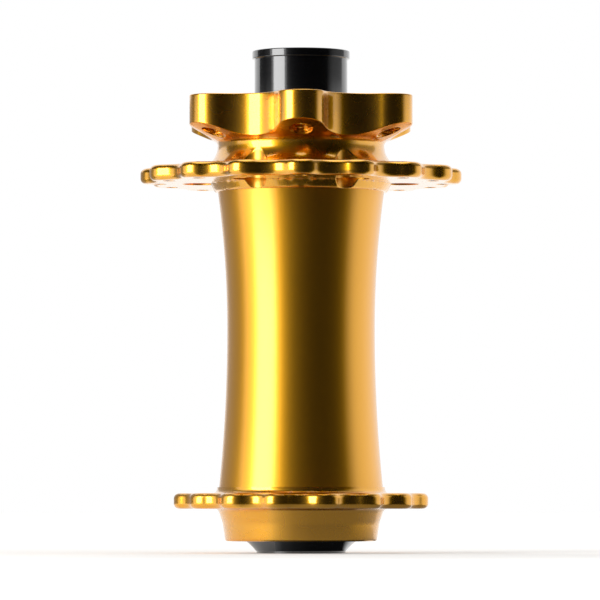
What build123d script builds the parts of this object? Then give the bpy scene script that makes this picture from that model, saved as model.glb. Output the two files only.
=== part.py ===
from build123d import *
import os
from math import cos, pi, radians, sin, sqrt, tan

# Front hub for a bicycle wheel with a disc brake, on a thru-axle.
# Lengths are in millimetres. The origin is the hub's centre, on the line of the axle and
# halfway between its two end faces. +Z points to the disc side, and the hub stands upright
# on its plain side, as it is photographed.

# Fit in the fork
end_to_end = 110.0
thru_axle_bore = 15.1

# Places along the shell, from the end face on the same side to the disc's face, to the
# shell's foot and to the middle of each flange
disc_face_inset = 10.4
shell_foot_inset = 2.6
disc_flange_inset = 27.5
plain_flange_inset = 11.4

# Spoke flanges
spokes_per_flange = 16
spoke_hole = 2.6
flange_thickness = 3.4
flange_edge_round = 0.7
disc_flange_hole_circle = 62.0
disc_flange_lobe_radius = 4.2
disc_flange_hollow_radius = 5.8
plain_flange_hole_circle = 48.4
plain_flange_lobe_radius = 4.0
plain_flange_hollow_radius = 4.6

# Brake disc mount, with its six threaded lobes
disc_bolts = 6
disc_bolt_circle = 44.0
disc_bolt_thread = 5.0
disc_lobe_radius = 5.2
disc_hollow_radius = 9.8
disc_mount_tip_thickness = 6.2
disc_mount_underside_slope = 21.0
disc_mount_edge_round = 0.3

# Neck between the disc mount and the disc-side flange, with its lightening windows
neck_wall = 3.3
neck_sweep_radius = 4.9
neck_root_round = 1.2
windows = 6
window_diameter = 7.4
window_circle = 44.5

# Barrel and the collars at its ends. Each wall is measured over the bearing seats.
barrel_top_wall = 3.2
barrel_waist_wall = 1.15
barrel_foot_wall = 2.9
barrel_waist_drop = 6.2
top_collar_ledge = 0.7
top_collar_height = 1.85
top_collar_flare = 1.0
top_collar_round = 0.9
foot_collar_ledge = 0.5
foot_collar_height = 1.3
foot_collar_round = 1.0

# Collar that holds the plain-side bearing
bearing_collar_wall = 2.2
bearing_collar_taper = 0.6
bearing_collar_root_height = 3.1
bearing_collar_flare = 1.0
bearing_collar_root_round = 1.2
bearing_collar_edge_round = 0.6

# Cartridge bearings. The section is the height between a bearing's bore and its outside,
# and shares of the side are of the room beside the balls.
bearing_section = 6.5
bearing_width = 7.0
bearing_recess = 4.8
bearing_balls = 11
ball_share = 0.6106
race_gap_share = 0.477
race_rim_share = 0.169
seal_side_share = 0.46
seal_inset = 0.1
seal_lip_thickness = 0.3
seal_lip_width = 0.6
race_edge = 0.3
cage_share = 0.246
cage_back_side_share = 0.36
cage_height_share = 0.83
bearing_mouth_chamfer = 0.4

# Clearances
seat_clearance = 0.01
running_clearance = 0.03
lip_clearance = 0.05
cage_clearance = 0.08
shield_clearance = 0.4

# Space inside the shell, and the axle: the wall of its stubs, the steps up to its tube
# and to its shoulders, and the shoulders' length
bore_wall_at_waist = 2.7
axle_stub_wall = 0.95
axle_tube_step = 0.7
axle_shoulder_step = 1.5
axle_shoulder_length = 3.0
axle_tip_chamfer = 0.3

# Dust seals outside the bearings
dust_seal_height = 2.1
dust_seal_wall = 0.95
dust_seal_web_height = 0.5
dust_seal_web_thickness = 0.6
dust_seal_lip_base = 1.2
dust_seal_lip_rise = 0.8
dust_seal_lip_land = 0.4

# End caps
shield_height = 2.5
cap_edge_round = 0.25
cap_tip_gap = 0.3
disc_cap_wall = 1.7
disc_cap_lip = 0.5
disc_cap_lip_height = 1.8
disc_cap_end_wall = 3.0
disc_cap_shield_thickness = 1.5
plain_cap_wall = 1.3
plain_cap_end_height = 0.45
plain_cap_end_wall = 1.9
plain_cap_shield_rim = 0.8
plain_cap_flare_sweep = 13.0

# Rings of rubber that hold the end caps on the axle
o_ring_cord = 0.8
o_ring_groove_width = 1.1
disc_cap_o_ring_depth = 6.5
plain_cap_o_ring_depth = 4.4

overrun = 1.0

# Worked out from the sizes above
disc_end = end_to_end / 2
plain_end = -end_to_end / 2
disc_face = disc_end - disc_face_inset
shell_foot = plain_end + shell_foot_inset
disc_flange_foot = disc_end - disc_flange_inset - flange_thickness / 2
disc_flange_top = disc_flange_foot + flange_thickness
plain_flange_foot = plain_end + plain_flange_inset - flange_thickness / 2
plain_flange_top = plain_flange_foot + flange_thickness
half_spoke_pitch = 180 / spokes_per_flange
disc_cap_length = disc_face_inset + bearing_recess
plain_cap_length = shell_foot_inset + bearing_recess
disc_shoulder = disc_end - disc_cap_length - bearing_width
plain_shoulder = plain_end + plain_cap_length + bearing_width
bore_radius = thru_axle_bore / 2
stub_radius = bore_radius + axle_stub_wall
bearing_seat_radius = stub_radius + bearing_section
ball_circle_radius = stub_radius + bearing_section / 2
ball_diameter = bearing_section * ball_share
inner_race_land_radius = ball_circle_radius - bearing_section * race_gap_share / 2
outer_race_land_radius = ball_circle_radius + bearing_section * race_gap_share / 2
seal_recess_radius = bearing_seat_radius - bearing_section * race_rim_share
skirt_radius = inner_race_land_radius - lip_clearance
shield_radius = bearing_seat_radius - shield_clearance
neck_radius = bearing_seat_radius + neck_wall
barrel_top_radius = bearing_seat_radius + barrel_top_wall
barrel_waist_radius = bearing_seat_radius + barrel_waist_wall
barrel_foot_radius = bearing_seat_radius + barrel_foot_wall
shell_bore_radius = barrel_waist_radius - bore_wall_at_waist
top_collar_radius = barrel_top_radius + top_collar_ledge
foot_collar_radius = barrel_foot_radius + foot_collar_ledge
bearing_collar_radius = bearing_seat_radius + bearing_collar_wall
disc_mount_tip_radius = disc_bolt_circle / 2 + disc_lobe_radius

# Planes through the axle's line for turned pieces. In their sketches x is the radius, and
# y is the height on the shell's plane, or the depth from the hub's end face on the others.
axle_section = Plane.XZ
disc_side = Plane((0, 0, disc_end), x_dir=(1, 0, 0), z_dir=(0, 1, 0))
plain_side = Plane((0, 0, plain_end), x_dir=(1, 0, 0), z_dir=(0, -1, 0))


def polar(radius, angle):
    """The point at a radius and an angle in radians."""
    return Vector(radius * cos(angle), radius * sin(angle))


def lobed_outline(lobe_circle_radius, lobe_radius, hollow_radius, count, turn):
    """Draws a closed ring of round lobes, joined by hollows that are tangent to them."""
    half_pitch = pi / count
    reach = lobe_radius + hollow_radius
    across = lobe_circle_radius * sin(half_pitch)
    hollow_circle_radius = lobe_circle_radius * cos(half_pitch) + sqrt(reach**2 - across**2)
    lobe_share = lobe_radius / reach
    for step in range(count):
        middle = radians(turn) + 2 * half_pitch * step
        lobe = polar(lobe_circle_radius, middle)
        next_lobe = polar(lobe_circle_radius, middle + 2 * half_pitch)
        hollow_before = polar(hollow_circle_radius, middle - half_pitch)
        hollow_after = polar(hollow_circle_radius, middle + half_pitch)
        start = lobe + (hollow_before - lobe) * lobe_share
        end = lobe + (hollow_after - lobe) * lobe_share
        next_start = next_lobe + (hollow_after - next_lobe) * lobe_share
        ThreePointArc(start, polar(lobe_circle_radius + lobe_radius, middle), end)
        bottom = polar(hollow_circle_radius - hollow_radius, middle + half_pitch)
        ThreePointArc(end, bottom, next_start)


def turned(plane, points):
    """Turns a closed outline about the axle."""
    with BuildPart() as piece:
        with BuildSketch(plane):
            with BuildLine():
                Polyline(*points, close=True)
            make_face()
        revolve(axis=Axis.Z)
    return piece.part


def keep(part, name):
    """Labels a finished piece and writes it."""
    part.label = name
    export_step(part, f"parts/{name}.step")


def spoke_flange(foot, hole_circle, lobe_radius, hollow_radius, turn):
    """A flat flange with a scalloped and rounded rim, before its spoke holes."""
    with BuildPart() as flange:
        with BuildSketch(Plane.XY.offset(foot)):
            with BuildLine():
                lobed_outline(hole_circle / 2, lobe_radius, hollow_radius, spokes_per_flange, turn)
            make_face()
        extrude(amount=flange_thickness)
        rims = flange.edges().group_by(Axis.Z)
        fillet(rims[0] + rims[-1], radius=flange_edge_round)
    return flange.part


def disc_mount():
    """The six-lobed mount of the brake disc, flat above and coned below, with a round root."""
    slope = radians(disc_mount_underside_slope)
    tip_height = disc_face - disc_mount_tip_thickness
    root_height = tip_height - (disc_mount_tip_radius - neck_radius) * tan(slope)
    foot = root_height - neck_root_round * tan((pi / 2 - slope) / 2)
    outer_radius = disc_mount_tip_radius + overrun
    outer_height = tip_height + overrun * tan(slope)
    with BuildPart() as mount:
        with BuildSketch(Plane.XY.offset(foot)):
            with BuildLine():
                lobed_outline(disc_bolt_circle / 2, disc_lobe_radius, disc_hollow_radius, disc_bolts, 90)
            make_face()
        extrude(amount=disc_face - foot)
        fillet(mount.edges().group_by(Axis.Z)[-1], radius=disc_mount_edge_round)
        with BuildSketch(axle_section):
            with BuildLine():
                FilletPolyline(
                    (neck_radius, foot - overrun),
                    (neck_radius, root_height),
                    (outer_radius, outer_height),
                    (outer_radius, foot - overrun),
                    radius=[0, neck_root_round, 0, 0],
                    close=True,
                )
            make_face()
        revolve(axis=Axis.Z, mode=Mode.SUBTRACT)
    return mount.part


# Hub shell, turned and milled from one billet
with BuildPart() as hub_shell:
    with BuildSketch(axle_section):
        with BuildLine():
            foot_web = plain_flange_hole_circle / 2
            top_web = disc_flange_hole_circle / 2
            collar_foot_radius = bearing_collar_radius - bearing_collar_taper
            collar_root = plain_flange_foot - bearing_collar_root_height
            barrel_foot = plain_flange_top + foot_collar_height
            barrel_top = disc_flange_foot - top_collar_height
            FilletPolyline(
                (0, shell_foot),
                (collar_foot_radius, shell_foot),
                (bearing_collar_radius, collar_root),
                (bearing_collar_radius + bearing_collar_flare, plain_flange_foot),
                (foot_web, plain_flange_foot),
                (foot_web, plain_flange_top),
                (foot_collar_radius, plain_flange_top),
                (foot_collar_radius, barrel_foot),
                (barrel_foot_radius, barrel_foot),
                radius=[
                    bearing_collar_edge_round,
                    0,
                    bearing_collar_root_round,
                    0,
                    0,
                    foot_collar_round,
                    0,
                ],
            )
            waist = (barrel_waist_radius, -barrel_waist_drop)
            TangentArc(waist, (barrel_foot_radius, barrel_foot), tangent=(0, -1))
            TangentArc(waist, (barrel_top_radius, barrel_top), tangent=(0, 1))
            FilletPolyline(
                (barrel_top_radius, barrel_top),
                (top_collar_radius, barrel_top),
                (top_collar_radius + top_collar_flare, disc_flange_foot),
                (top_web, disc_flange_foot),
                (top_web, disc_flange_top),
                (neck_radius, disc_flange_top),
                (neck_radius, disc_face),
                (0, disc_face),
                radius=[0, top_collar_round, 0, 0, neck_sweep_radius, 0],
            )
            Line((0, disc_face), (0, shell_foot))
        make_face()
    revolve(axis=Axis.Z)
    add(
        spoke_flange(
            disc_flange_foot,
            disc_flange_hole_circle,
            disc_flange_lobe_radius,
            disc_flange_hollow_radius,
            0,
        )
    )
    add(
        spoke_flange(
            plain_flange_foot,
            plain_flange_hole_circle,
            plain_flange_lobe_radius,
            plain_flange_hollow_radius,
            half_spoke_pitch,
        )
    )
    add(disc_mount())
    # the bearing seats with their shoulders, and the wider space between them
    add(
        turned(
            axle_section,
            [
                (0, shell_foot - overrun),
                (bearing_seat_radius + bearing_mouth_chamfer + overrun, shell_foot - overrun),
                (bearing_seat_radius, shell_foot + bearing_mouth_chamfer),
                (bearing_seat_radius, plain_shoulder),
                (shell_bore_radius, plain_shoulder),
                (shell_bore_radius, disc_shoulder),
                (bearing_seat_radius, disc_shoulder),
                (bearing_seat_radius, disc_face - bearing_mouth_chamfer),
                (bearing_seat_radius + bearing_mouth_chamfer + overrun, disc_face + overrun),
                (0, disc_face + overrun),
            ],
        ),
        mode=Mode.SUBTRACT,
    )
    # the windows through the root of the disc-side flange, between the bolts of the mount
    window_foot = barrel_top - overrun
    with BuildSketch(Plane.XY.offset(window_foot)):
        with PolarLocations(window_circle / 2, windows):
            Circle(window_diameter / 2)
    extrude(amount=disc_flange_top + neck_sweep_radius - window_foot, mode=Mode.SUBTRACT)
    # one spoke hole in each lobe of the flanges
    for foot, hole_circle, turn in (
        (disc_flange_foot, disc_flange_hole_circle, 0),
        (plain_flange_foot, plain_flange_hole_circle, half_spoke_pitch),
    ):
        with BuildSketch(Plane.XY.offset(foot)):
            with PolarLocations(hole_circle / 2, spokes_per_flange, start_angle=turn):
                Circle(spoke_hole / 2)
        extrude(amount=flange_thickness, mode=Mode.SUBTRACT)
    # the holes for the bolts of the brake disc
    with BuildSketch(Plane.XY.offset(disc_face)):
        with PolarLocations(disc_bolt_circle / 2, disc_bolts, start_angle=90):
            Circle(disc_bolt_thread / 2)
    extrude(amount=disc_flange_top + neck_sweep_radius / 2 - disc_face, mode=Mode.SUBTRACT)

# Axle, a tube with a seat and a shoulder for each bearing
disc_tip = disc_end - disc_cap_end_wall - cap_tip_gap
plain_tip = plain_end + plain_cap_end_wall + cap_tip_gap
tube_radius = stub_radius + axle_tube_step
shoulder_radius = stub_radius + axle_shoulder_step
axle = turned(
    axle_section,
    [
        (bore_radius, plain_tip),
        (stub_radius - axle_tip_chamfer, plain_tip),
        (stub_radius, plain_tip + axle_tip_chamfer),
        (stub_radius, plain_shoulder),
        (shoulder_radius, plain_shoulder),
        (shoulder_radius, plain_shoulder + axle_shoulder_length),
        (tube_radius, plain_shoulder + axle_shoulder_length),
        (tube_radius, disc_shoulder - axle_shoulder_length),
        (shoulder_radius, disc_shoulder - axle_shoulder_length),
        (shoulder_radius, disc_shoulder),
        (stub_radius, disc_shoulder),
        (stub_radius, disc_tip - axle_tip_chamfer),
        (stub_radius - axle_tip_chamfer, disc_tip),
        (bore_radius, disc_tip),
    ],
)

# Bore of an end cap, from its skirt to the hub's end face
groove_radius = stub_radius + running_clearance + o_ring_cord + seat_clearance


def cap_bore(length, end_wall, o_ring_depth):
    """The points of a cap's stepped bore, with the groove for its ring of rubber."""
    socket_radius = stub_radius + running_clearance
    return [
        (socket_radius, length),
        (socket_radius, o_ring_depth + o_ring_groove_width / 2),
        (groove_radius, o_ring_depth + o_ring_groove_width / 2),
        (groove_radius, o_ring_depth - o_ring_groove_width / 2),
        (socket_radius, o_ring_depth - o_ring_groove_width / 2),
        (socket_radius, end_wall),
        (bore_radius, end_wall),
        (bore_radius, 0),
    ]


def o_ring(plane, depth):
    """A ring of rubber in its groove, squeezed to the room above the axle."""
    with BuildPart() as ring:
        with BuildSketch(plane):
            with Locations((stub_radius + running_clearance + o_ring_cord / 2, depth)):
                Circle(o_ring_cord / 2)
        revolve(axis=Axis.Z)
    return ring.part


# Disc-side end cap: a straight sleeve with a lip, and a shield over the bearing
disc_shield_foot = disc_cap_length - shield_height
disc_cap_body_radius = stub_radius + disc_cap_wall
disc_cap_lip_radius = disc_cap_body_radius + disc_cap_lip
with BuildPart() as disc_side_end_cap:
    with BuildSketch(disc_side):
        outline = [
            (disc_cap_lip_radius, 0),
            (disc_cap_lip_radius, disc_cap_lip_height),
            (disc_cap_body_radius, disc_cap_lip_height),
            (disc_cap_body_radius, disc_shield_foot - disc_cap_shield_thickness),
            (shield_radius, disc_shield_foot - disc_cap_shield_thickness),
            (shield_radius, disc_shield_foot),
            (skirt_radius, disc_shield_foot),
            (skirt_radius, disc_cap_length),
            *cap_bore(disc_cap_length, disc_cap_end_wall, disc_cap_o_ring_depth),
        ]
        rounds = [cap_edge_round, cap_edge_round, 0, cap_edge_round, cap_edge_round]
        sharp = [0] * (len(outline) - len(rounds))
        with BuildLine():
            FilletPolyline(*outline, radius=rounds + sharp, close=True)
        make_face()
    revolve(axis=Axis.Z)

# Plain-side end cap: a short foot that flares out to its shield
with BuildPart() as plain_side_end_cap:
    plain_shield_foot = plain_cap_length - shield_height
    plain_cap_end_radius = stub_radius + plain_cap_wall
    with BuildSketch(plain_side):
        with BuildLine():
            rim = (shield_radius, plain_shield_foot - plain_cap_shield_rim)
            neck = (plain_cap_end_radius, plain_cap_end_height)
            RadiusArc(neck, rim, plain_cap_flare_sweep)
            Polyline(
                rim,
                (shield_radius, plain_shield_foot),
                (skirt_radius, plain_shield_foot),
                (skirt_radius, plain_cap_length),
                *cap_bore(plain_cap_length, plain_cap_end_wall, plain_cap_o_ring_depth),
                (plain_cap_end_radius, 0),
                neck,
            )
        make_face()
    revolve(axis=Axis.Z)


def dust_seal(plane, bearing_face):
    """A rubber ring in the shell's mouth, seated on the bearing, whose lip runs on a skirt."""
    outside = bearing_seat_radius - seat_clearance
    inside = outside - dust_seal_wall
    lip = skirt_radius + lip_clearance
    web_foot = bearing_face - dust_seal_web_height
    web_top = web_foot - dust_seal_web_thickness
    lip_foot = web_foot - dust_seal_lip_rise
    return turned(
        plane,
        [
            (outside, bearing_face),
            (outside, bearing_face - dust_seal_height),
            (inside, bearing_face - dust_seal_height),
            (inside, web_top),
            (lip + dust_seal_lip_base, web_top),
            (lip, lip_foot - dust_seal_lip_land),
            (lip, lip_foot),
            (lip + dust_seal_lip_base / 2, web_foot),
            (inside, web_foot),
            (inside, bearing_face),
        ],
    )


def bearing(side, plane, face):
    """Writes the pieces of a sealed ball bearing whose outer face is at this depth."""
    middle = face + bearing_width / 2
    back = face + bearing_width
    groove = ball_diameter / 2 + running_clearance
    inside = stub_radius + seat_clearance
    outside = bearing_seat_radius - seat_clearance
    side_room = (bearing_width - ball_diameter) / 2
    seal_thickness = side_room * seal_side_share
    recess = seal_inset + seal_thickness
    cage_back = side_room * cage_back_side_share
    cage_thickness = bearing_section * cage_share
    cage_height = ball_diameter * cage_height_share

    with BuildPart() as inner_race:
        with BuildSketch(plane):
            with BuildLine():
                Polyline(
                    (inside, face + race_edge),
                    (inside + race_edge, face),
                    (inner_race_land_radius, face),
                    (inner_race_land_radius, back),
                    (inside + race_edge, back),
                    (inside, back - race_edge),
                    close=True,
                )
            make_face()
            with Locations((ball_circle_radius, middle)):
                Circle(groove, mode=Mode.SUBTRACT)
        revolve(axis=Axis.Z)
    keep(inner_race.part, f"{side}_bearing_inner_race")

    with BuildPart() as outer_race:
        with BuildSketch(plane):
            with BuildLine():
                Polyline(
                    (seal_recess_radius, face),
                    (outside - race_edge, face),
                    (outside, face + race_edge),
                    (outside, back - race_edge),
                    (outside - race_edge, back),
                    (seal_recess_radius, back),
                    (seal_recess_radius, back - recess),
                    (outer_race_land_radius, back - recess),
                    (outer_race_land_radius, face + recess),
                    (seal_recess_radius, face + recess),
                    close=True,
                )
            make_face()
            with Locations((ball_circle_radius, middle)):
                Circle(groove, mode=Mode.SUBTRACT)
        revolve(axis=Axis.Z)
    keep(outer_race.part, f"{side}_bearing_outer_race")

    ball_centre = plane.origin + plane.y_dir * middle
    with BuildPart() as balls:
        with Locations(ball_centre):
            with PolarLocations(ball_circle_radius, bearing_balls):
                Sphere(ball_diameter / 2)
    keep(balls.part, f"{side}_bearing_balls")

    # a snap-in cage: a plain ring on the inner side, open to the balls on the other
    cage_middle = middle + ball_diameter / 2 + cage_back - cage_height / 2
    with BuildPart() as cage:
        with BuildSketch(plane):
            with Locations((ball_circle_radius, cage_middle)):
                Rectangle(cage_thickness, cage_height)
        revolve(axis=Axis.Z)
        with Locations(ball_centre):
            with PolarLocations(ball_circle_radius, bearing_balls):
                Sphere(ball_diameter / 2 + cage_clearance, mode=Mode.SUBTRACT)
    keep(cage.part, f"{side}_bearing_cage")

    seal_rim = seal_recess_radius - seat_clearance
    seal_lip = inner_race_land_radius + lip_clearance
    seals = (("outer", face + seal_inset, 1), ("inner", back - seal_inset, -1))
    for name, outer_skin, inward in seals:
        inner_skin = outer_skin + inward * seal_thickness
        seal = turned(
            plane,
            [
                (seal_rim, outer_skin),
                (seal_rim, inner_skin),
                (seal_lip + seal_lip_width, inner_skin),
                (seal_lip, outer_skin + inward * seal_lip_thickness),
                (seal_lip, outer_skin),
            ],
        )
        keep(seal, f"{side}_bearing_{name}_seal")


os.makedirs("parts", exist_ok=True)
keep(hub_shell.part, "hub_shell")
keep(axle, "axle")
keep(disc_side_end_cap.part, "disc_side_end_cap")
keep(plain_side_end_cap.part, "plain_side_end_cap")
keep(o_ring(disc_side, disc_cap_o_ring_depth), "disc_side_cap_o_ring")
keep(o_ring(plain_side, plain_cap_o_ring_depth), "plain_side_cap_o_ring")
keep(dust_seal(disc_side, disc_cap_length), "disc_side_dust_seal")
keep(dust_seal(plain_side, plain_cap_length), "plain_side_dust_seal")
bearing("disc_side", disc_side, disc_cap_length)
bearing("plain_side", plain_side, plain_cap_length)
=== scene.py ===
import math

import bmesh
import bpy
import numpy as np
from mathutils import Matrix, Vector


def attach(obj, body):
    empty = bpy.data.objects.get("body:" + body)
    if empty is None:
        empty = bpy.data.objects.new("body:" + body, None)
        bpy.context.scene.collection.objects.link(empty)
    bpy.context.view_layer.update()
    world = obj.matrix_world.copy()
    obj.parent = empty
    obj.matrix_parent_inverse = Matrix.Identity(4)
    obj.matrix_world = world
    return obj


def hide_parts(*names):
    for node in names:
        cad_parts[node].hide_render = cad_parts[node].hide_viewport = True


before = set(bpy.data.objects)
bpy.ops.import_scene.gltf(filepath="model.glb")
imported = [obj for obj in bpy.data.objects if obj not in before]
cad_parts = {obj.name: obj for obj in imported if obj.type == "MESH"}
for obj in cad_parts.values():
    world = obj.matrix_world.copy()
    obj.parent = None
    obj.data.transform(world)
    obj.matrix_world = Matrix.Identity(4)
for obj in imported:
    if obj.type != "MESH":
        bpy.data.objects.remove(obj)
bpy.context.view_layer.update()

bl_info = {
    "name": "Bicycle front hub",
    "version": (1, 0, 0),
    "blender": (4, 5, 0),
    "location": "3D View > Sidebar > Hub",
    "description": "Dresses the packed front hub: its shell, end caps, axle and bearings",
    "category": "Add Mesh",
}

MM = 0.001
SPOKES = 16
BOLTS = 6
WINDOWS = 6
# Points round a full turn, a multiple of the three counts above.
AROUND = 480
TURN = np.linspace(0, 2 * math.pi, AROUND, endpoint=False)
# Points nearer than this become one, and edges bent by more than this are sharp.
WELD = 0.0004 * MM
SHARP_ANGLE = math.radians(26)
# A straight run shorter than this has no points of its own, and a round has at least so many
# parts. A round that fills its run takes this share of it, so that their ends stay apart.
SHORT_RUN = 0.02 * MM
ROUND_PARTS = 4
NEARLY = 0.999

GOLD_SLOT = "gold_anodised_aluminium"
BLACK_SLOT = "black_anodised_aluminium"


def linear_of(code):
    """A colour written as sRGB hex, turned to the linear values that Blender shades with."""
    parts = np.array([int(code[i : i + 2], 16) for i in (1, 3, 5)]) / 255
    low, high = parts / 12.92, ((parts + 0.055) / 1.055) ** 2.4
    return [float(v) for v in np.where(parts <= 0.04045, low, high)] + [1.0]


def length(name, text, size):
    """A length given in millimetres and kept in metres, as Blender keeps its own."""
    return bpy.props.FloatProperty(
        name=name, description=text, default=size * MM, unit="LENGTH", precision=5
    )


def colour(name, text, code):
    """A colour given as sRGB hex."""
    return bpy.props.FloatVectorProperty(
        name=name, description=text, default=linear_of(code), subtype="COLOR", size=4, min=0, max=1
    )


class HubSizes(bpy.types.PropertyGroup):
    """Sizes of the hub's showing pieces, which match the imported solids."""

    end_face: length("End face", "Height of the disc-side end face over the hub's centre", 55)
    disc_face: length("Disc face", "Height of the face that the brake disc bolts to", 44.6)
    shell_foot: length("Shell foot", "Height of the shell's lower end", -52.4)
    disc_flange: length("Disc-side flange", "Height of the disc-side flange's lower face", 25.8)
    plain_flange: length("Plain-side flange", "Height of the plain-side flange's lower face", -45.3)
    flange_thickness: length("Flange thickness", "Thickness of both spoke flanges", 3.4)
    rim_round: length("Rim round", "Rounding of the flange rims", 1.2)
    spoke_hole: length("Spoke hole", "Radius of a spoke hole", 1.3)
    disc_spoke_circle: length("Disc-side spoke circle", "Radius through the spoke holes", 31)
    plain_spoke_circle: length("Plain-side spoke circle", "Radius through the spoke holes", 24.2)
    disc_rim_lobe: length("Disc-side rim lobe", "Radius of a lobe of the rim", 4.2)
    disc_rim_hollow: length("Disc-side rim hollow", "Radius between two lobes", 5.8)
    plain_rim_lobe: length("Plain-side rim lobe", "Radius of a lobe of the rim", 4.0)
    plain_rim_hollow: length("Plain-side rim hollow", "Radius between two lobes", 4.6)
    bolt_circle: length("Bolt circle", "Radius through the disc bolts", 22)
    bolt_hole: length("Bolt hole", "Outer radius of the disc bolts' thread", 2.5)
    mount_lobe: length("Mount lobe", "Radius of a lobe of the disc mount", 5.2)
    mount_hollow: length("Mount hollow", "Radius between two lobes of the mount", 9.8)
    mount_tip: length("Mount tip", "Thickness of the disc mount at its lobes' tips", 6.2)
    neck: length("Neck", "Radius of the neck between mount and flange", 18.3)
    neck_sweep: length("Neck sweep", "Radius of the sweep from neck to flange", 4.9)
    neck_root: length("Neck root", "Rounding of the corner between neck and mount", 1.2)
    window: length("Window", "Radius of a lightening window", 3.7)
    window_circle: length("Window circle", "Radius through the windows", 22.25)
    seat: length("Bearing seat", "Radius of the bearing seats", 15)
    inside: length("Inside", "Radius of the space between the bearings", 13.45)
    barrel_top: length("Barrel top", "Radius of the barrel at its upper end", 18.2)
    barrel_waist: length("Barrel waist", "Radius of the barrel at its waist", 16.15)
    barrel_foot: length("Barrel foot", "Radius of the barrel at its lower end", 17.9)
    waist_height: length("Waist height", "Height of the waist over the hub's centre", -6.2)
    bore: length("Bore", "Radius of the bore for the thru-axle", 7.55)
    cap_grip: length("Cap grip", "Radius of the end caps' bore, which grips the axle", 8.53)
    ring_groove: length("Ring groove", "Radius of the groove for each cap's ring", 9.34)
    cap_skirt: length("Cap skirt", "Radius of the skirt that the dust seal rubs on", 10.15)
    cap_shield: length("Cap shield", "Radius of the shield over each bearing", 14.6)
    cap_sleeve: length("Cap sleeve", "Radius of the disc-side cap's sleeve", 10.2)
    cap_lip: length("Cap lip", "Radius of the lip at the sleeve's end", 10.7)


class HubColours(bpy.types.PropertyGroup):
    """Colours of the hub's finishes."""

    gold: colour("Gold", "Dyed oxide of the shell, as aluminium shows through it", "#f5b010")
    gold_dark: colour("Deep gold", "The same dye where it lies thicker", "#efa90e")
    black: colour("Black", "Dyed oxide of the end caps", "#060608")
    clear: colour("Clear", "Undyed oxide of the axle", "#c4c6ca")
    steel: colour("Bearing steel", "Ground rings and balls", "#b9bbbf")
    rubber: colour("Rubber", "Seals and rings", "#17181a")
    nylon: colour("Cage nylon", "Ball cages", "#d8cfb4")
    floor: colour("Floor", "Table", "#e8e7e5")


# Outlines


def graded(count):
    """Shares from 0 to 1, (1 - cos) / 2 of even steps, so they are finest at both ends."""
    return (1 - np.cos(np.linspace(0, math.pi, count + 1))) / 2


def outline(corners, closed=False, steps=4, arc=7):
    """Radius and height along straight runs with rounded corners. A corner is (radius, height)
    or (radius, height, round). A round is an arc tangent to both runs: its centre lies on the
    bisector, at round / sin(half the corner), and its points swing between the two touches,
    at most arc degrees apart. A straight run has as many parts as steps."""
    points = np.array([corner[:2] for corner in corners], float)
    runs = []
    for i, corner in enumerate(corners):
        size = corner[2] if len(corner) > 2 else 0
        if not size:
            runs.append(points[i : i + 1])
            continue
        back = points[i - 1] - points[i]
        ahead = points[(i + 1) % len(points)] - points[i]
        back /= np.hypot(*back)
        ahead /= np.hypot(*ahead)
        half = math.acos(np.clip(back @ ahead, -1, 1)) / 2
        middle = (back + ahead) / np.hypot(*(back + ahead)) * size / math.sin(half)
        first = back * size / math.tan(half) - middle
        last = ahead * size / math.tan(half) - middle
        sweep = math.pi - 2 * half
        parts = max(ROUND_PARTS, math.ceil(sweep / math.radians(arc)))
        t = np.linspace(0, 1, parts + 1)[:, None]
        swing = (np.sin((1 - t) * sweep) * first + np.sin(t * sweep) * last) / math.sin(sweep)
        runs.append(points[i] + middle + swing)
    if closed:
        runs.append(runs[0][:1])
    line = [runs[0]]
    for run in runs[1:]:
        start = line[-1][-1]
        gap = run[0] - start
        if np.hypot(*gap) > SHORT_RUN:
            line.append(start + graded(steps)[1:-1, None] * gap)
        line.append(run)
    return np.vstack(line)


def barrel_line(sizes, height_from, height_to):
    """The barrel's side from its foot to its top: from the waist to either end it is an arc
    that is vertical at the waist, with radius (dr squared + dz squared) / (2 dr)."""
    z = np.linspace(height_from, height_to, 90)
    end = np.where(z < sizes.waist_height, sizes.barrel_foot, sizes.barrel_top)
    reach = np.where(z < sizes.waist_height, height_from, height_to) - sizes.waist_height
    rise = end - sizes.barrel_waist
    bend = (rise**2 + reach**2) / (2 * rise)
    r = sizes.barrel_waist + bend - np.sqrt(bend**2 - (z - sizes.waist_height) ** 2)
    return np.stack([r, z], 1)


# Grids of points


def turned(line, angles=TURN):
    """A line of radius and height carried round the axis: x = r cos a, y = r sin a."""
    r, z = line[:, :1], line[:, 1:]
    return np.stack([r * np.cos(angles), r * np.sin(angles), z + 0 * angles], -1)


def circle_at(centre, radius, angles):
    """Flat points on a circle about a centre on the X axis."""
    return np.stack([centre + radius * np.cos(angles), radius * np.sin(angles)], -1)


def facing(loop, centre):
    """The angles at which the points of a loop stand about a centre on the X axis."""
    return np.unwrap(np.arctan2(loop[:, 1], loop[:, 0] - centre))


def lobe_sector(circle, lobe, hollow, count, inset, steps=(22, 14)):
    """One lobe of a scalloped rim about the +X axis, from the middle of a hollow to the middle
    of the next. The lobe is an arc about a point on the circle, and each hollow is an arc
    tangent to two lobes. inset moves every point inwards, square to the rim."""
    half = math.pi / count
    across = circle * math.sin(half)
    centre = circle * math.cos(half) + math.sqrt((lobe + hollow) ** 2 - across**2)
    far = centre * np.array([math.cos(half), math.sin(half)])
    lean = math.atan2(far[1], far[0] - circle)
    over = np.linspace(0, lean, steps[0] + 1)
    into = np.linspace(lean, half, steps[1] + 1)[1:]
    x = np.append(
        circle + (lobe - inset) * np.cos(over), far[0] - (hollow + inset) * np.cos(into)
    )
    y = np.append((lobe - inset) * np.sin(over), far[1] - (hollow + inset) * np.sin(into))
    return np.concatenate([np.stack([x, -y], 1)[:0:-1], np.stack([x, y], 1)])


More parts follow.
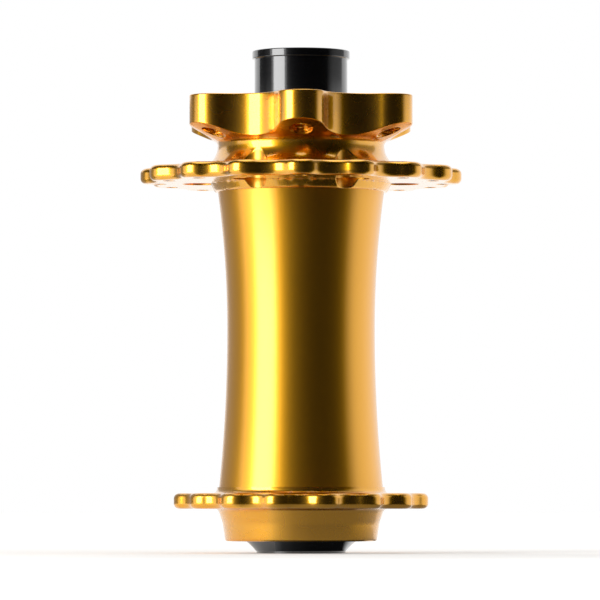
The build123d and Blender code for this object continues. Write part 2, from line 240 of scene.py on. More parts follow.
def ring_arc(radius, half, steps):
    """Points on a circle about the axis, from +half to -half of an angle."""
    a = np.linspace(half, -half, steps + 1)
    return np.stack([radius * np.cos(a), radius * np.sin(a)], 1)


def sector_edge(rim, inner, half, inner_steps, side_steps=5):
    """The closed edge of one sector: its rim, a radial side, the inner arc and the other side."""
    arc = ring_arc(inner, half, inner_steps)
    t = np.linspace(0, 1, side_steps + 1)[1:-1, None]
    there = rim[-1] + t * (arc[0] - rim[-1])
    return np.concatenate([rim, there, arc, arc[-1] + t * (rim[0] - arc[-1])])


def spin(grid, angle):
    """A grid of points turned about the axis."""
    c, s = math.cos(angle), math.sin(angle)
    x, y, z = grid[..., 0], grid[..., 1], grid[..., 2]
    return np.stack([c * x - s * y, s * x + c * y, z], -1)


def at_height(flat, z):
    """Flat points given a height, the same for all or one each."""
    z = np.broadcast_to(z, flat.shape[:-1])
    return np.concatenate([flat, z[..., None]], -1)


def between(first, last, rows):
    """Rows of points from one loop to another, finest near both."""
    t = graded(rows)[:, None, None]
    return first * (1 - t) + last * t


def bend_over(start, corner, end, rows=4):
    """A rounded edge: each column runs from start to end as (1 - t)^2 start
    + 2 t (1 - t) corner + t^2 end, tangent at both to the faces that meet in the corner."""
    t = np.linspace(0, 1, rows + 1)[:, None, None]
    return (1 - t) ** 2 * start + 2 * t * (1 - t) * corner + t**2 * end


class Skin:
    """Grids of points that are joined in one mesh."""

    def __init__(self):
        self.points, self.faces, self.looks, self.total = [], [], [], 0

    def add(self, grid, wrap=True, flip=False, look=0):
        """Adds the grid's quads. A face points along (column direction) x (row direction).
        look tells which of the piece's materials they have."""
        rows, columns = grid.shape[:2]
        i = np.arange(rows * columns).reshape(rows, columns) + self.total
        if wrap:
            i = np.hstack([i, i[:, :1]])
        quads = np.stack([i[:-1, :-1], i[:-1, 1:], i[1:, 1:], i[1:, :-1]], -1).reshape(-1, 4)
        self.points.append(grid.reshape(-1, 3))
        self.faces.append(quads[:, ::-1] if flip else quads)
        self.looks.append(np.full(len(quads), look))
        self.total += rows * columns

    def piece(self, name, body, materials, slot, replaces):
        """Makes a piece of the part: points that coincide become one, and sharp edges are
        marked."""
        points = np.concatenate(self.points)
        faces = np.concatenate(self.faces).astype(np.int32)
        mesh = bpy.data.meshes.new(name)
        mesh.vertices.add(len(points))
        mesh.vertices.foreach_set("co", points.ravel())
        mesh.loops.add(faces.size)
        mesh.loops.foreach_set("vertex_index", faces.ravel())
        mesh.polygons.add(len(faces))
        mesh.polygons.foreach_set("loop_start", np.arange(0, faces.size, 4, dtype=np.int32))
        mesh.polygons.foreach_set("material_index", np.concatenate(self.looks).astype(np.int32))
        mesh.update(calc_edges=True)
        work = bmesh.new()
        work.from_mesh(mesh)
        bmesh.ops.remove_doubles(work, verts=work.verts, dist=WELD)
        work.to_mesh(mesh)
        work.free()
        mesh.shade_smooth()
        mesh.set_sharp_from_angle(angle=SHARP_ANGLE)
        for material in materials:
            mesh.materials.append(material)
        made = bpy.data.objects.new(name, mesh)
        bpy.context.scene.collection.objects.link(made)
        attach(made, body)
        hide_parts(*replaces)

    def stand(self, name, material):
        """Makes a piece of the stage."""
        mesh = bpy.data.meshes.new(name)
        mesh.from_pydata(
            np.concatenate(self.points).tolist(), [], np.concatenate(self.faces).tolist()
        )
        mesh.materials.append(material)
        made = bpy.data.objects.new(name, mesh)
        bpy.context.scene.collection.objects.link(made)
        return made


# Materials

# The clear oxide that anodising grows on aluminium bends light as alumina does.
OXIDE_IOR = 1.68


def node(tree, kind, settings=None, links=None):
    """Adds a node, sets its sockets and options, and links sockets to other nodes' outputs."""
    made = tree.nodes.new(kind)
    for key, value in (settings or {}).items():
        if isinstance(key, str) and hasattr(made, key):
            setattr(made, key, value)
        else:
            made.inputs[key].default_value = value
    for key, source in (links or {}).items():
        tree.links.new(source, made.inputs[key])
    return made


def new_material(name):
    """A new material, its node tree and its Principled shader."""
    made = bpy.data.materials.new(name)
    made.use_nodes = True
    return made, made.node_tree, made.node_tree.nodes["Principled BSDF"]


EVEN = (1, 1, 1)
# The lathe's marks run round the axis, so their noise is drawn out across it.
LATHE = (0.02, 0.02, 1)


def stretched_noise(tree, stretch, size, detail=2.0):
    """Noise on the object's own coordinates, size in metres. A stretch under 1 draws it out
    along that axis."""
    place = node(tree, "ShaderNodeTexCoord")
    fit = node(tree, "ShaderNodeMapping", {"Scale": stretch}, {"Vector": place.outputs["Object"]})
    return node(
        tree,
        "ShaderNodeTexNoise",
        {"Scale": 1 / size, "Detail": detail},
        {"Vector": fit.outputs["Vector"]},
    )


def set_gloss(tree, shader, smooth, rough, pattern):
    """Roughness that wanders from smooth to rough with a pattern."""
    span = node(
        tree,
        "ShaderNodeMapRange",
        {"To Min": smooth, "To Max": rough},
        {"Value": pattern.outputs["Fac"]},
    )
    tree.links.new(span.outputs["Result"], shader.inputs["Roughness"])


def set_oxide(shader, weight, roughness):
    """The clear oxide as a coat, whose gloss is white over the metal's own."""
    shader.inputs["Coat Weight"].default_value = weight
    shader.inputs["Coat IOR"].default_value = OXIDE_IOR
    shader.inputs["Coat Roughness"].default_value = roughness


def dyed_metal(name, drift, relief, strength, height):
    """Aluminium under dyed oxide. The dye tints what the metal reflects, a little deeper where
    drift is high, and the surface follows the pattern relief with a bump of this height."""
    made, tree, shader = new_material(name)
    paint = bpy.context.scene.hub_colours
    mix = node(
        tree,
        "ShaderNodeMix",
        {"data_type": "RGBA", 6: paint.gold, 7: paint.gold_dark},
        {0: stretched_noise(tree, *drift).outputs["Fac"]},
    )
    tree.links.new(mix.outputs[2], shader.inputs["Base Color"])
    shader.inputs["Metallic"].default_value = 1
    bump = node(
        tree,
        "ShaderNodeBump",
        {"Strength": strength, "Distance": height},
        {"Height": stretched_noise(tree, EVEN, *relief).outputs["Fac"]},
    )
    tree.links.new(bump.outputs["Normal"], shader.inputs["Normal"])
    return made, tree, shader


def anodised_polished():
    """Aluminium turned and milled bright, buffed, then anodised and dyed. The clear oxide gives
    white highlights over tinted metal, and the buffing wheel leaves waves about 5 mm across
    and a haze in patches of about 3 mm."""
    made, tree, shader = dyed_metal(
        "polished_gold_anodised_aluminium", (EVEN, 14 * MM), (5 * MM, 0.0), 0.12, 0.03 * MM
    )
    set_oxide(shader, 1, 0.08)
    set_gloss(tree, shader, 0.25, 0.3, stretched_noise(tree, EVEN, 3 * MM, 0.0))
    return made


def anodised_satin():
    """Aluminium blasted with fine bead, then anodised and dyed: a silky sheen that spreads its
    highlights wide. The real grain, about 0.05 mm, is too fine to show and is drawn at 0.3."""
    made, tree, shader = dyed_metal(
        "satin_gold_anodised_aluminium", ((1, 1, 0.5), 12 * MM), (0.3 * MM, 3.0), 0.2, 0.01 * MM
    )
    set_oxide(shader, 0.8, 0.2)
    set_gloss(tree, shader, 0.34, 0.37, stretched_noise(tree, EVEN, 0.5 * MM, 3.0))
    return made


def anodised_black():
    """Aluminium turned, polished and dyed black: so dark that the clear oxide's own gloss is
    most of what it shows. The lathe's real marks, about 0.1 mm apart, are drawn at 0.25."""
    made, tree, shader = new_material("polished_black_anodised_aluminium")
    shader.inputs["Base Color"].default_value = bpy.context.scene.hub_colours.black
    set_oxide(shader, 1, 0.06)
    set_gloss(tree, shader, 0.16, 0.26, stretched_noise(tree, LATHE, 0.25 * MM))
    return made


def plain_finish(name, tint, metal, smooth, rough, grain):
    """A finish of one colour whose gloss varies with a fine grain."""
    made, tree, shader = new_material(name)
    shader.inputs["Base Color"].default_value = tint
    shader.inputs["Metallic"].default_value = metal
    set_gloss(tree, shader, smooth, rough, stretched_noise(tree, EVEN, grain, 3.0))
    return made


FINISHES = {}


def finish(name):
    """The hub's materials, each made once from the colours in the panel."""
    paint = bpy.context.scene.hub_colours
    dyed = {
        "polished gold": anodised_polished,
        "satin gold": anodised_satin,
        "black": anodised_black,
    }
    # turned metal under clear oxide is softly bright, ground steel nearly a mirror, rubber from
    # an etched mould dull, and nylon shines faintly where its glass fibres leave it smooth
    plain = {
        "clear": ("clear_anodised_turned_aluminium", paint.clear, 1, 0.25, 0.4, 0.3 * MM),
        "steel": ("ground_bearing_steel", paint.steel, 1, 0.12, 0.22, 0.4 * MM),
        "rubber": ("moulded_nitrile_rubber", paint.rubber, 0, 0.5, 0.7, 0.5 * MM),
        "nylon": ("moulded_glass_filled_nylon", paint.nylon, 0, 0.4, 0.6, 0.6 * MM),
    }
    if name not in FINISHES:
        FINISHES[name] = dyed[name]() if name in dyed else plain_finish(*plain[name])
    return FINISHES[name]


# Pieces of the shell

HOLE_EDGE = 0.2 * MM
# The bevel that leads into both bearing bores, and the heights of the bearings' shoulders.
LEAD_IN = 0.4 * MM
DISC_SHOULDER = 32.8 * MM
PLAIN_SHOULDER = -40.6 * MM
# Radii at which the flanges' webs end and their scalloped rims begin.
WEB_EDGE = 27.2 * MM
PLAIN_WEB_EDGE = 21.5 * MM
# The barrel ends this far under the disc-side flange and this far over the plain-side one.
LEDGE = 1.85 * MM
COLLAR = 1.3 * MM
# The disc mount: its underside's slope, its rim's rounding over and under, and its threads.
MOUNT_SLOPE = math.radians(21)
FACE_ROUND = 0.3 * MM
UNDER_ROUND = 0.15 * MM
THREAD_HEIGHT = 0.4 * MM
THREAD_PITCH = 0.8 * MM
# A step too small to see, where two radii may not be equal.
HAIR = 1e-6 * MM


def round_hole(loop, centre, radius, rows):
    """Rows of flat points from a hole's circle to the loop round it."""
    return between(circle_at(centre, radius, facing(loop, centre)), loop, rows)


def hole_lining(centre, radius, angles, top, bottom):
    """The wall of a hole with rounded edges, from the upper face to the lower: circles about
    the hole's centre whose radius and height follow the rounded outline."""
    size = HOLE_EDGE * NEARLY
    corners = [
        (radius + HOLE_EDGE, top),
        (radius, top, size),
        (radius, bottom, size),
        (radius + HOLE_EDGE, bottom),
    ]
    return turned(outline(corners, steps=2, arc=20), angles) + [centre, 0, 0]


def scalloped_flange(skin, sizes, shape, turn, foot, inner):
    """Both faces, the rim and the spoke holes of a flange from the radius inner outwards.
    The shape is what lobe_sector starts with: circle, lobe, hollow and count."""
    circle, count = shape[0], shape[-1]
    half = math.pi / count
    top = foot + sizes.flange_thickness
    edge = sizes.rim_round
    size = edge * NEARLY
    side = outline([(edge, top), (0, top, size), (0, foot, size), (edge, foot)], arc=9)
    rim = np.stack([at_height(lobe_sector(*shape, d), z) for d, z in side])
    loop = sector_edge(lobe_sector(*shape, edge), inner, half, AROUND // count)
    face = round_hole(loop, circle, sizes.spoke_hole + HOLE_EDGE, 3)
    lining = hole_lining(circle, sizes.spoke_hole, facing(loop, circle), top, foot)
    for i in range(count):
        a = turn + 2 * half * i
        skin.add(spin(rim, a), wrap=False, flip=True)
        skin.add(spin(at_height(face, top), a), flip=True)
        skin.add(spin(at_height(face, foot), a))
        skin.add(spin(lining, a))


def mount_under(sizes, radius):
    """Height of the disc mount's coned underside at a radius: it rises outwards by the
    tangent of the slope, to the tips' thickness."""
    tip = sizes.bolt_circle + sizes.mount_lobe
    return sizes.disc_face - sizes.mount_tip - (tip - radius) * math.tan(MOUNT_SLOPE)


def coned(sizes, flat):
    """Flat points laid on the disc mount's underside."""
    return at_height(flat, mount_under(sizes, np.hypot(flat[..., 0], flat[..., 1])))


def root_line(sizes):
    """The round between the neck and the mount's underside: an arc about a point one round
    out from the neck, from where it touches the neck to where it touches the cone."""
    size = sizes.neck_root
    low = mount_under(sizes, sizes.neck) - size * math.tan((math.pi / 2 - MOUNT_SLOPE) / 2)
    a = np.linspace(0, math.pi / 2 - MOUNT_SLOPE, 25)
    return np.stack([sizes.neck + size * (1 - np.cos(a)), low + size * np.sin(a)], 1)


def neck_line(sizes):
    """From the round under the disc mount down the neck, a quarter circle that sweeps out to
    the flange, with radius neck + R (1 - cos a) and height top + R (1 - sin a), and the web.
    The radius has to rise all along, so the upright neck starts a hair further in."""
    top = sizes.disc_flange + sizes.flange_thickness
    bend = sizes.neck_sweep
    a = np.linspace(0, math.pi / 2, 240)
    sweep = np.stack([sizes.neck + bend * (1 - np.cos(a)), top + bend * (1 - np.sin(a))], 1)
    r = np.linspace(sweep[-1, 0], WEB_EDGE, 60)[1:]
    web = np.stack([r, 0 * r + top], 1)
    return np.concatenate([root_line(sizes)[:1] - [HAIR, 0], sweep, web])


def collar_line(sizes):
    """Under the disc-side flange: the ledge over the barrel, the flaring collar, the web."""
    foot = sizes.disc_flange
    corners = [
        (sizes.barrel_top, foot - LEDGE),
        (sizes.barrel_top + 0.7 * MM, foot - LEDGE, 0.9 * MM),
        (sizes.barrel_top + 1.7 * MM, foot),
        (WEB_EDGE, foot),
    ]
    return outline(corners, steps=40)


def web_side(sizes, line, border, share):
    """One side of the ring with the windows, in one sector: its grid, the window's edge and
    the outer end of that edge's rounding. The points lie between the window and the sector's
    border, straight in angle and in distance along the line, so they stay on the surface.
    share says where along the line each point of the border is."""
    along = np.append(0, np.cumsum(np.hypot(*np.diff(line, axis=0).T)))
    angles = facing(border, sizes.window_circle)

    def window_edge(radius):
        x, y = circle_at(sizes.window_circle, radius, angles).T
        return np.stack([np.arctan2(y, x), np.interp(np.hypot(x, y), line[:, 0], along)], 1)

    def lift(flat):
        r = np.interp(flat[..., 1], along, line[:, 0])
        z = np.interp(flat[..., 1], along, line[:, 1])
        return np.stack([r * np.cos(flat[..., 0]), r * np.sin(flat[..., 0]), z], -1)

    mouth = window_edge(sizes.window + HOLE_EDGE)
    limit = np.stack([np.arctan2(border[:, 1], border[:, 0]), share * along[-1]], 1)
    return lift(between(mouth, limit, 18)), lift(window_edge(sizes.window)), lift(mouth)


def windowed_web(skin, sizes):
    """Both sides of the ring with the windows, in six sectors. The windows' walls join the
    same points of their upper and lower edges."""
    half = math.pi / WINDOWS
    steps = AROUND // WINDOWS
    rim = ring_arc(WEB_EDGE, half, steps)[::-1]
    border = sector_edge(rim, sizes.neck, half, steps, side_steps=12)
    t = np.linspace(0, 1, 13)[1:-1]
    share = np.concatenate([np.ones(steps + 1), 1 - t, np.zeros(steps + 1), t])
    upper, upper_edge, upper_mouth = web_side(sizes, neck_line(sizes), border, share)
    lower, lower_edge, lower_mouth = web_side(sizes, collar_line(sizes), border, share)
    down = np.array([0, 0, -HOLE_EDGE])
    over = bend_over(upper_mouth, upper_edge, upper_edge + down)
    under = bend_over(lower_edge - down, lower_edge, lower_mouth)
    wall = between(upper_edge + down, lower_edge - down, 14)
    for i in range(WINDOWS):
        a = 2 * half * i
        skin.add(spin(upper, a), flip=True)
        skin.add(spin(over, a))
        skin.add(spin(wall, a), look=1)
        skin.add(spin(under, a))
        skin.add(spin(lower, a))


def bolt_hole(sizes):
    """A threaded hole of the disc mount: its upper edge, its wall, which runs down to the
    cone, and its lower edge. The thread's ridges stand into the hole, their crests and roots
    each flat over a fifth of the pitch, and fade out over their own height at both ends."""
    around = TURN[::5]
    rows = graded(80)[:, None]
    corner = coned(sizes, circle_at(sizes.bolt_circle, sizes.bolt_hole, around))
    start = sizes.disc_face - HOLE_EDGE
    stop = corner[:, 2] + HOLE_EDGE
    height = start * (1 - rows) + stop * rows
    depth = np.minimum(start - height, height - stop)
    climb = np.mod(height / THREAD_PITCH - around / (2 * math.pi), 1)
    ridge = np.clip(3.2 * (0.5 - np.abs(climb - 0.5)) - 0.3, 0, 1)
    ridge *= THREAD_HEIGHT * np.clip(depth / THREAD_HEIGHT, 0, 1)
    wall = at_height(circle_at(sizes.bolt_circle, sizes.bolt_hole - ridge, around), height)
    mouth = circle_at(sizes.bolt_circle, sizes.bolt_hole + HOLE_EDGE, around)
    upper = bend_over(at_height(mouth, sizes.disc_face), wall[0] + [0, 0, HOLE_EDGE], wall[0])
    lower = bend_over(wall[-1], corner, coned(sizes, mouth))
    return upper, wall, lower


def disc_mount(skin, sizes):
    """The six-lobed mount: a flat face, a rounded rim, a coned underside and bolt holes."""
    half = math.pi / BOLTS
    shape = (sizes.bolt_circle, sizes.mount_lobe, sizes.mount_hollow, BOLTS)
    face = sizes.disc_face

    def rim(inset):
        return lobe_sector(*shape, inset, steps=(26, 26))

    def to_rim(inset, inner, rows):
        """Flat points of one sector between the bolt hole and the edges of the mount."""
        loop = sector_edge(rim(inset), inner, half, AROUND // BOLTS)
        return round_hole(loop, sizes.bolt_circle, sizes.bolt_hole + HOLE_EDGE, rows)

    start = face - 2 * FACE_ROUND
    corners = [(FACE_ROUND, face), (0, face, FACE_ROUND * NEARLY), (0, start)]
    over_rim = np.stack([at_height(rim(d), z) for d, z in outline(corners, steps=2)])
    low = coned(sizes, rim(0))
    side_end = low + [0, 0, UNDER_ROUND]
    side = between(at_height(rim(0), start), side_end, 6)
    under_rim = bend_over(side_end, low, coned(sizes, rim(UNDER_ROUND)))
    root = root_line(sizes)
    under = coned(sizes, to_rim(UNDER_ROUND, root[-1, 0], 10))
    over = at_height(to_rim(FACE_ROUND, sizes.seat + LEAD_IN, 4), face)
    upper_edge, wall, lower_edge = bolt_hole(sizes)
    skin.add(turned(root))
    for i in range(BOLTS):
        a = math.pi / 2 + 2 * half * i
        skin.add(spin(over_rim, a), wrap=False, flip=True)
        skin.add(spin(side, a), wrap=False, flip=True)
        skin.add(spin(under_rim, a), wrap=False, flip=True)
        skin.add(spin(under, a))
        skin.add(spin(over, a), flip=True)
        skin.add(spin(upper_edge, a))
        skin.add(spin(wall, a))
        skin.add(spin(lower_edge, a))


def shell_piece(skin, name, *looks):
    """Makes a piece that stands for part of the shell and turns with it."""
    skin.piece(name, "shell_set", [finish(look) for look in looks], GOLD_SLOT, ["hub_shell"])


# Lines of the end caps


def cap_line(end, corners, closed=False):
    """The outline of an end cap with its end face at the height end. A corner is a radius, the
    depth under the face in millimetres and perhaps a round in millimetres."""
    inwards = -math.copysign(MM, end)
    return outline(
        [(r, end + inwards * depth, *(size * MM for size in rest)) for r, depth, *rest in corners],
        closed,
    )


def flare_line(near, far, radius):
    """An arc of a radius from one point to another, hollow on its outer side."""
    span = far - near
    reach = np.hypot(*span)
    square = np.array([span[1], -span[0]]) / reach
    centre = (near + far) / 2 + square * math.sqrt(radius**2 - reach**2 / 4)
    start, stop = (math.atan2(*(point - centre)[::-1]) for point in (near, far))
    return centre + circle_at(0, radius, np.linspace(start, stop, 25))


# Operators


class HUB_OT_shell_barrel(bpy.types.Operator):
    """The satin barrel between the flanges"""

    bl_idname = "hub.shell_barrel"
    bl_label = "Barrel"

    def execute(self, context):
        sizes = context.scene.hub_sizes
        foot = sizes.plain_flange + sizes.flange_thickness + COLLAR
        skin = Skin()
        skin.add(turned(barrel_line(sizes, foot, sizes.disc_flange - LEDGE)))
        shell_piece(skin, "shell_barrel", "satin gold")
        return {"FINISHED"}


class HUB_OT_disc_side_flange(bpy.types.Operator):
    """The larger flange with its collar, windows and neck"""

    bl_idname = "hub.disc_side_flange"
    bl_label = "Disc-side flange"

    def execute(self, context):
        sizes = context.scene.hub_sizes
        web = Skin()
        windowed_web(web, sizes)
        shell_piece(web, "disc_side_web", "polished gold", "satin gold")
        shape = (sizes.disc_spoke_circle, sizes.disc_rim_lobe, sizes.disc_rim_hollow, SPOKES)
        rim = Skin()
        scalloped_flange(rim, sizes, shape, 0, sizes.disc_flange, WEB_EDGE)
        shell_piece(rim, "disc_side_rim", "polished gold")
        return {"FINISHED"}


class HUB_OT_disc_mount(bpy.types.Operator):
    """The lobed mount of the brake disc, with its threaded holes"""

    bl_idname = "hub.disc_mount"
    bl_label = "Disc mount"

    def execute(self, context):
        skin = Skin()
        disc_mount(skin, context.scene.hub_sizes)
        shell_piece(skin, "disc_mount", "polished gold")
        return {"FINISHED"}


class HUB_OT_plain_side_flange(bpy.types.Operator):
    """The smaller flange with the collars above and below it"""

    bl_idname = "hub.plain_side_flange"
    bl_label = "Plain-side flange"

    def execute(self, context):
        sizes = context.scene.hub_sizes
        foot = sizes.plain_flange
        top = foot + sizes.flange_thickness
        shape = (sizes.plain_spoke_circle, sizes.plain_rim_lobe, sizes.plain_rim_hollow, SPOKES)
        skin = Skin()
        # its lobes stand half a pitch round from the disc side's
        scalloped_flange(skin, sizes, shape, math.pi / SPOKES, foot, PLAIN_WEB_EDGE)
        above = [
            (PLAIN_WEB_EDGE, top),
            (sizes.barrel_foot + 0.5 * MM, top, 1.0 * MM),
            (sizes.barrel_foot + 0.5 * MM, top + COLLAR),
            (sizes.barrel_foot, top + COLLAR),
        ]
        below = [
            (sizes.seat + LEAD_IN, sizes.shell_foot),
            (sizes.seat + 1.6 * MM, sizes.shell_foot, 0.6 * MM),
            (sizes.seat + 2.2 * MM, foot - 3.1 * MM),
            (sizes.seat + 3.2 * MM, foot, 1.2 * MM),
            (PLAIN_WEB_EDGE, foot),
        ]
        skin.add(turned(outline(above, arc=9)))
        skin.add(turned(outline(below, arc=9)))
        shell_piece(skin, "plain_side_flange", "polished gold")
        return {"FINISHED"}


class HUB_OT_bearing_seats(bpy.types.Operator):
    """The inside of the shell, with the seats and shoulders of both bearings"""

    bl_idname = "hub.bearing_seats"
    bl_label = "Bearing seats"

    def execute(self, context):
        sizes = context.scene.hub_sizes
        line = [
            (sizes.seat + LEAD_IN, sizes.disc_face),
            (sizes.seat, sizes.disc_face - LEAD_IN),
            (sizes.seat, DISC_SHOULDER),
            (sizes.inside, DISC_SHOULDER),
            (sizes.inside, PLAIN_SHOULDER),
            (sizes.seat, PLAIN_SHOULDER),
            (sizes.seat, sizes.shell_foot + LEAD_IN),
            (sizes.seat + LEAD_IN, sizes.shell_foot),
        ]
        skin = Skin()
        skin.add(turned(outline(line)))
        shell_piece(skin, "bearing_seats", "satin gold")
        return {"FINISHED"}


class HUB_OT_end_caps(bpy.types.Operator):
    """The black end caps: a lipped sleeve on the disc side, a flared foot on the plain side"""

    bl_idname = "hub.end_caps"
    bl_label = "End caps"

    def execute(self, context):
        sizes = context.scene.hub_sizes
        bore, grip, groove = sizes.bore, sizes.cap_grip, sizes.ring_groove
        skirt, shield = sizes.cap_skirt, sizes.cap_shield
        sleeve = [
            (grip, 15.2),
            (skirt, 15.2),
            (skirt, 12.7),
            (shield, 12.7, 0.25),
            (shield, 11.2, 0.25),
            (sizes.cap_sleeve, 11.2),
            (sizes.cap_sleeve, 1.8),
            (sizes.cap_lip, 1.8, 0.25),
            (sizes.cap_lip, 0, 0.25),
            (bore, 0, 0.2),
            (bore, 3),
            (grip, 3),
            (grip, 5.95),
            (groove, 5.95),
            (groove, 7.05),
            (grip, 7.05),
        ]
        skin = Skin()
        skin.add(turned(cap_line(sizes.end_face, sleeve, closed=True)))
        skin.piece(
            "disc_side_sleeve",
            "disc_side_cap_set",
            [finish("black")],
            BLACK_SLOT,
            ["disc_side_end_cap"],
        )
        face_edge = 9.8 * MM
        foot = [
            (shield, 4.9),
            (skirt, 4.9),
            (skirt, 7.4),
            (grip, 7.4),
            (grip, 4.95),
            (groove, 4.95),
            (groove, 3.85),
            (grip, 3.85),
            (grip, 1.9),
            (bore, 1.9),
            (bore, 0, 0.2),
            (face_edge, 0),
        ]
        end = -sizes.end_face
        near, far = np.array([face_edge, end + 0.45 * MM]), np.array([shield, end + 4.1 * MM])
        flare = flare_line(near, far, 13 * MM)
        skin = Skin()
        skin.add(turned(np.vstack([flare, cap_line(end, foot), flare[:1]])))
        skin.piece(
            "plain_side_foot",
            "plain_side_cap_set",
            [finish("black")],
            BLACK_SLOT,
            ["plain_side_end_cap"],
        )
        return {"FINISHED"}


class HUB_OT_inside_pieces(bpy.types.Operator):
    """Finishes on the axle, bearings, seals and rings inside the hub"""

    bl_idname = "hub.inside_pieces"
    bl_label = "Inside pieces"

    def execute(self, context):
        wanted = {
            "axle": "clear",
            "race": "steel",
            "balls": "steel",
            "cage": "nylon",
            "seal": "rubber",
            "ring": "rubber",
        }
        for name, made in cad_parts.items():
            for word, choice in wanted.items():
                if name.endswith(word):
                    made.data.materials.clear()
                    made.data.materials.append(finish(choice))
        return {"FINISHED"}


# Stage. Azimuth is counted in degrees from the camera's side of the hub, to its right.

# The camera's place and the height on the axis that it looks at, from how far the
# photograph's circles open.
CAMERA = (-0.22 * MM, -1142 * MM, -44.5 * MM)
AIM = 0.4 * MM
# The distance from the axis of the glowing sheets that paint the hub's reflections, and the heights
# at which their walls begin and end: the disc-side cap reflects what stands between the first two.
CLOTH_AWAY = 120 * MM
CAP_FOOT, CAP_TOP, CLOTH_TOP = 52 * MM, 90 * MM, 300 * MM
# The sheets' painted brightness by azimuth, painted reflections of grey and black cloth lit from
# the left: of their walls, and of what lies on the table near the hub.
PAINTED_WALL_LEVELS = (
    (-150, 0.45), (-95, 0.2), (-34, 0.35), (-24, 0.12), (-8, 0.05), (12, 0.02), (66, 0.01),
    (73, 0.45), (82, 0.9), (118, 1),
)
# painted shade round the hub's foot, seen only in its reflections of the table
PAINTED_FOOT_LEVELS = (
    (-34, 0.85), (-22, 0.5), (-8, 0.3), (12, 0.22), (66, 0.2), (82, 0.25), (118, 0.4),
)


def seen(tree):
    """1 for rays from the camera, from gloss and through glass, 0 for others."""
    path = node(tree, "ShaderNodeLightPath").outputs
    total = path["Is Camera Ray"]
    for kind in ("Is Glossy Ray", "Is Transmission Ray"):
        total = node(
            tree, "ShaderNodeMath", {"operation": "MAXIMUM"}, {0: total, 1: path[kind]}
        ).outputs[0]
    return total


def table_finish(tint):
    """Matt white board: pale and plain, with the hub's soft shadow on it. It glows a little where
    it is seen, and less near the hub: painted shade round the hub's foot, which the hub also
    reflects."""
    made, tree, shader = new_material("matt_white_board")
    shader.inputs["Base Color"].default_value = tint
    shader.inputs["Roughness"].default_value = 0.9
    shader.inputs["Emission Color"].default_value = tint
    place = node(tree, "ShaderNodeTexCoord").outputs["Object"]
    far = node(tree, "ShaderNodeVectorMath", {"operation": "LENGTH"}, {0: place})
    # painted shade: the glow is dimmer near the hub and grows outwards
    painted_shade_near_hub = node(
        tree,
        "ShaderNodeMapRange",
        {"From Min": 20 * MM, "From Max": 300 * MM, "To Min": 0.35, "To Max": 0.7},
        {"Value": far.outputs["Value"]},
    )
    glow = node(
        tree,
        "ShaderNodeMath",
        {"operation": "MULTIPLY"},
        {0: seen(tree), 1: painted_shade_near_hub.outputs["Result"]},
    )
    tree.links.new(glow.outputs[0], shader.inputs["Emission Strength"])
    return made


def painted_reflection_finish(name, levels):
    """Sheets that glow and are seen only in gloss, painted as black and grey cloth lit from the
    left: their brightness by azimuth is painted light and shade for the hub to reflect, and less of
    it from the cap's height upwards, painted shade in the cap's reflection. The radial gradient
    gives the angle round the axis as a share of a turn, from -X."""
    made, tree, shader = new_material(name)
    place = node(tree, "ShaderNodeTexCoord").outputs["Object"]
    turn = node(tree, "ShaderNodeTexGradient", {"gradient_type": "RADIAL"}, {0: place})
    ramp = node(tree, "ShaderNodeValToRGB", links={0: turn.outputs["Fac"]})
    stops = ramp.color_ramp.elements
    for azimuth, level in levels:
        stop = stops.new((azimuth + 90) / 360 % 1)
        stop.color = (level, level, level, 1)
    # the two stops that every ramp starts with
    stops.remove(stops[0])
    stops.remove(stops[-1])
    height = node(tree, "ShaderNodeSeparateXYZ", links={0: place}).outputs["Z"]
    # painted shade: the sheets glow less from the cap's foot upwards, so the cap reflects them
    # darker
    fade = node(
        tree,
        "ShaderNodeMapRange",
        {"From Min": CAP_FOOT, "From Max": CAP_FOOT + 6 * MM, "To Min": 1, "To Max": 0.22},
        {"Value": height},
    )
    shader.inputs["Base Color"].default_value = (0, 0, 0, 1)
    shader.inputs["Specular IOR Level"].default_value = 0
    # painted reflection: the sheet's light is its own emission, its brightness set by azimuth
    tree.links.new(ramp.outputs["Color"], shader.inputs["Emission Color"])
    tree.links.new(fade.outputs["Result"], shader.inputs["Emission Strength"])
    return made


def hang_painted_reflections(floor):
    """Glowing sheets on a circle round the hub and on the table, seen by gloss only: painted
    reflections of cloth walls and of cloth lying on the table.
    """
    walls, near = Skin(), Skin()

    def arc(start, stop):
        a = np.radians(np.linspace(start, stop, 60))
        return CLOTH_AWAY * np.stack([np.sin(a), -np.cos(a)], 1)

    def hang(start, stop, low, high):
        walls.add(np.stack([at_height(arc(start, stop), z) for z in (low, high)]), wrap=False)

    hang(-150, -93, floor, CAP_FOOT)
    hang(-120, -75, CAP_FOOT, CAP_TOP)
    hang(-34, 118, floor, CAP_TOP)
    # sheets lying on the table near the hub: painted shade in the hub's reflection of the table
    shares = (0.06, 0.15, 0.42, 1)
    lying = np.stack([at_height(arc(-34, 118) * share, floor + 0.5 * MM) for share in shares])
    walls.add(lying[:2], wrap=False)
    near.add(lying[1:3], wrap=False)
    walls.add(lying[2:], wrap=False)
    hang(-120, 118, CAP_TOP, CLOTH_TOP)
    # the sheets glow for the hub's gloss alone: painted reflections
    for cloth in (
        walls.stand("painted_reflection_walls", painted_reflection_finish("painted_reflection_walls", PAINTED_WALL_LEVELS)),
        near.stand("painted_reflection_at_foot", painted_reflection_finish("painted_reflection_at_foot", PAINTED_FOOT_LEVELS)),
    ):
        cloth.visible_camera = False
        cloth.visible_diffuse = False
        cloth.visible_shadow = False


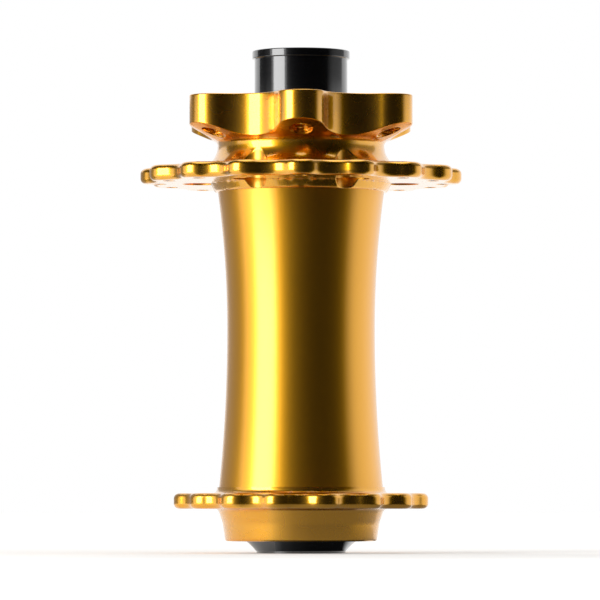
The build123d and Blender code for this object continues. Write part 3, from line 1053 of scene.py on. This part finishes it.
def studio_world():
    """A white world, at full strength where it is seen and at half for other rays."""
    world = bpy.data.worlds.new("studio")
    world.use_nodes = True
    tree = world.node_tree
    sky = tree.nodes["Background"]
    sky.inputs["Color"].default_value = linear_of("#ffffff")
    fill = node(tree, "ShaderNodeMath", {"operation": "MAXIMUM", 1: 0.5}, {0: seen(tree)})
    tree.links.new(fill.outputs[0], sky.inputs["Strength"])
    return world


def area_light(name, place, wide, tall, brightness):
    """A flat light that shines down. Its power is brightness x area x pi."""
    data = bpy.data.lights.new(name, "AREA")
    data.shape = "RECTANGLE"
    data.size, data.size_y = wide, tall
    data.energy = brightness * wide * tall * math.pi
    light = bpy.data.objects.new(name, data)
    light.location = place
    light.visible_camera = False
    bpy.context.scene.collection.objects.link(light)
    return light


def softbox(name, azimuth, low, high, wide, brightness):
    """An upright light 0.6 m from the axis that faces it."""
    a = math.radians(azimuth)
    place = Vector((math.sin(a) * 0.6, -math.cos(a) * 0.6, (low + high) / 2))
    light = area_light(name, place, wide, high - low, brightness)
    light.rotation_euler = Vector((-place.x, -place.y, 0)).to_track_quat("-Z", "Y").to_euler()


class HUB_OT_stage(bpy.types.Operator):
    """The pale table and backdrop, the soft lights and the camera"""

    bl_idname = "hub.stage"
    bl_label = "Stage"

    def execute(self, context):
        scene = context.scene
        floor = -scene.hub_sizes.end_face
        # a round table: radius and height carried round the axis, outwards to inwards
        table = Skin()
        table.add(turned(np.array([[6.0, floor], [0.6, floor], [0.0001, floor]])))
        table.stand("table", table_finish(scene.hub_colours.floor))
        scene.world = studio_world()
        hang_painted_reflections(floor)
        softbox("left_softbox", -56, floor, 0.36, 0.33, 5.3)
        softbox("right_softbox", 92, floor, 0.34, 0.55, 0.7)
        area_light("top_softbox", (0, -0.0001, 0.9), 0.7, 0.7, 0.7)
        camera = bpy.data.objects.new("camera", bpy.data.cameras.new("camera"))
        camera.data.lens = 313
        camera.data.sensor_width = 36
        camera.location = CAMERA
        camera.rotation_euler = (math.pi / 2 + math.atan2(AIM - CAMERA[2], -CAMERA[1]), 0, 0)
        scene.collection.objects.link(camera)
        scene.camera = camera
        scene.view_settings.view_transform = "Standard"
        return {"FINISHED"}


OPERATORS = (
    HUB_OT_shell_barrel,
    HUB_OT_disc_side_flange,
    HUB_OT_disc_mount,
    HUB_OT_plain_side_flange,
    HUB_OT_bearing_seats,
    HUB_OT_end_caps,
    HUB_OT_inside_pieces,
    HUB_OT_stage,
)


class HUB_PT_panel(bpy.types.Panel):
    """Sizes, colours and pieces of the hub"""

    bl_idname = "HUB_PT_panel"
    bl_label = "Front hub"
    bl_space_type = "VIEW_3D"
    bl_region_type = "UI"
    bl_category = "Hub"

    def draw(self, context):
        for group in (context.scene.hub_sizes, context.scene.hub_colours):
            for name in group.bl_rna.properties.keys():
                if name not in ("rna_type", "name"):
                    self.layout.prop(group, name)
        for operator in OPERATORS:
            self.layout.operator(operator.bl_idname)


CLASSES = (HubSizes, HubColours, *OPERATORS, HUB_PT_panel)


def register():
    for item in CLASSES:
        bpy.utils.register_class(item)
    bpy.types.Scene.hub_sizes = bpy.props.PointerProperty(type=HubSizes)
    bpy.types.Scene.hub_colours = bpy.props.PointerProperty(type=HubColours)


def unregister():
    del bpy.types.Scene.hub_colours
    del bpy.types.Scene.hub_sizes
    for item in reversed(CLASSES):
        bpy.utils.unregister_class(item)


def main():
    register()
    for operator in OPERATORS:
        group, name = operator.bl_idname.split(".")
        getattr(getattr(bpy.ops, group), name)()


if __name__ == "__main__":
    main()
